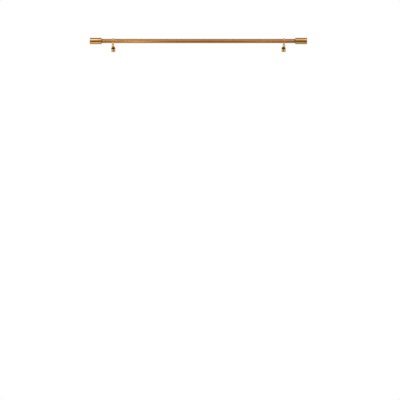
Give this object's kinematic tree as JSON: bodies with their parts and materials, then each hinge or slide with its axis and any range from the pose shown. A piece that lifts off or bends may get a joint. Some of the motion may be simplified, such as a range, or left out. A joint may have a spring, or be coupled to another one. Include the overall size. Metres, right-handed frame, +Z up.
{
  "type": "curtain rod with brackets",
  "caption": "Brass curtain rod with plain cylindrical finials that unscrew, held in ring brackets on short arms from small arch-topped wall bases.",
  "frame": {"origin": "on the wall plane, half way between the two brackets, at the height of the rod's axis", "axes": "+X along the rod to the right as seen from the room, +Y into the wall, +Z up"},
  "size_m": [1.592, 0.1432, 0.0859],
  "materials": {
    "satin_brass": "satin, brushed along the rod",
    "polished_brass": "fine turned, glossy",
    "zinc_plated_steel": "bright zinc plate",
    "blackened_steel": "black oxide",
    "black_fibre": "matt"
  },
  "bodies": {
    "brackets": {"bracket_ring_left": "polished_brass", "neck_screw_left": "blackened_steel", "bracket_arm_left": "polished_brass", "arm_bolt_left": "zinc_plated_steel", "base_cover_left": "polished_brass", "backplate_left": "zinc_plated_steel", "wall_screw_upper_left": "zinc_plated_steel", "wall_screw_lower_left": "zinc_plated_steel", "bracket_ring_right": "polished_brass", "neck_screw_right": "blackened_steel", "bracket_arm_right": "polished_brass", "arm_bolt_right": "zinc_plated_steel", "base_cover_right": "polished_brass", "backplate_right": "zinc_plated_steel", "wall_screw_upper_right": "zinc_plated_steel", "wall_screw_lower_right": "zinc_plated_steel"},
    "rod": {"rod_tube": "satin_brass", "rod_insert_left": "zinc_plated_steel", "rod_insert_right": "zinc_plated_steel"},
    "left_spacer": {"finial_spacer_left": "black_fibre"},
    "left_finial": {"finial_barrel_left": "polished_brass", "finial_plate_left": "polished_brass", "finial_stud_left": "zinc_plated_steel", "finial_nut_left": "zinc_plated_steel"},
    "left_ring_screw": {"ring_screw_left": "blackened_steel"},
    "left_base_screw": {"base_screw_left": "blackened_steel"},
    "right_spacer": {"finial_spacer_right": "black_fibre"},
    "right_finial": {"finial_barrel_right": "polished_brass", "finial_plate_right": "polished_brass", "finial_stud_right": "zinc_plated_steel", "finial_nut_right": "zinc_plated_steel"},
    "right_ring_screw": {"ring_screw_right": "blackened_steel"},
    "right_base_screw": {"base_screw_right": "blackened_steel"}
  },
  "joints": [
    {"name": "rod_slide", "type": "slide", "parent": "brackets", "child": "rod", "axis": [1, 0, 0], "range_m": [-0.075, 0.075]},
    {"name": "left_finial_travel", "type": "slide", "parent": "rod", "child": "left_spacer", "axis": [-1, 0, 0], "range_m": [0, 0.0151]},
    {"name": "left_finial_turn", "type": "hinge", "parent": "left_spacer", "child": "left_finial", "pos_m": [-0.7106, -0.089, 0], "axis": [-1, 0, 0], "range_deg": [0, 4320]},
    {"name": "left_ring_screw_turn", "type": "hinge", "parent": "brackets", "child": "left_ring_screw", "pos_m": [-0.626, -0.089, 0], "axis": [0, 0.7071, 0.7071], "range_deg": [0, 1080]},
    {"name": "left_base_screw_turn", "type": "hinge", "parent": "brackets", "child": "left_base_screw", "pos_m": [-0.626, -0.0045, -0.0615], "axis": [0, 0, -1], "range_deg": [0, 720]},
    {"name": "right_finial_travel", "type": "slide", "parent": "rod", "child": "right_spacer", "axis": [1, 0, 0], "range_m": [0, 0.0151]},
    {"name": "right_finial_turn", "type": "hinge", "parent": "right_spacer", "child": "right_finial", "pos_m": [0.7106, -0.089, 0], "axis": [1, 0, 0], "range_deg": [0, 4320]},
    {"name": "right_ring_screw_turn", "type": "hinge", "parent": "brackets", "child": "right_ring_screw", "pos_m": [0.626, -0.089, 0], "axis": [0, 0.7071, 0.7071], "range_deg": [0, 1080]},
    {"name": "right_base_screw_turn", "type": "hinge", "parent": "brackets", "child": "right_base_screw", "pos_m": [0.626, -0.0045, -0.0615], "axis": [0, 0, -1], "range_deg": [0, 720]}
  ],
  "couplings": [
    {"joint": "left_finial_travel", "follows": "left_finial_turn", "m_per_rad": 0.00019894},
    {"joint": "right_finial_travel", "follows": "right_finial_turn", "m_per_rad": 0.00019894}
  ]
}
